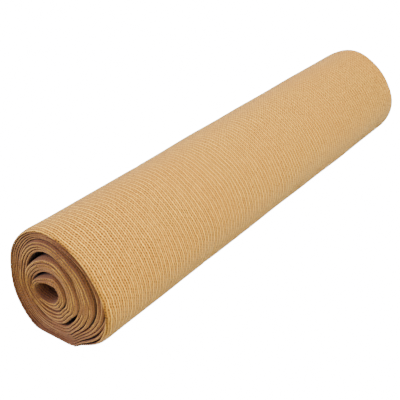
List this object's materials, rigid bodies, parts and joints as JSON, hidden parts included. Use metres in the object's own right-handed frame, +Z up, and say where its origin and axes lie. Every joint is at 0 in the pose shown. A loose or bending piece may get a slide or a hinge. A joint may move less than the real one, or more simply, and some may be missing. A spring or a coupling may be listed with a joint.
{
  "type": "shade net",
  "caption": "Rolled knitted shade cloth, folded lengthwise and wound into a loose spiral round an open hollow, lying on its side.",
  "frame": {"origin": "under the middle of the roll, on the surface it lies on", "axes": "+Y along the roll's axis, from the near end to the far end; +Z up; +X to the right seen from the near end"},
  "size_m": [0.0986, 0.4676, 0.0951],
  "materials": {
    "shade_cloth": "matte knitted plastic cloth, sand beige"
  },
  "bodies": {
    "root": {"net_roll": "shade_cloth"}
  },
  "joints": []
}
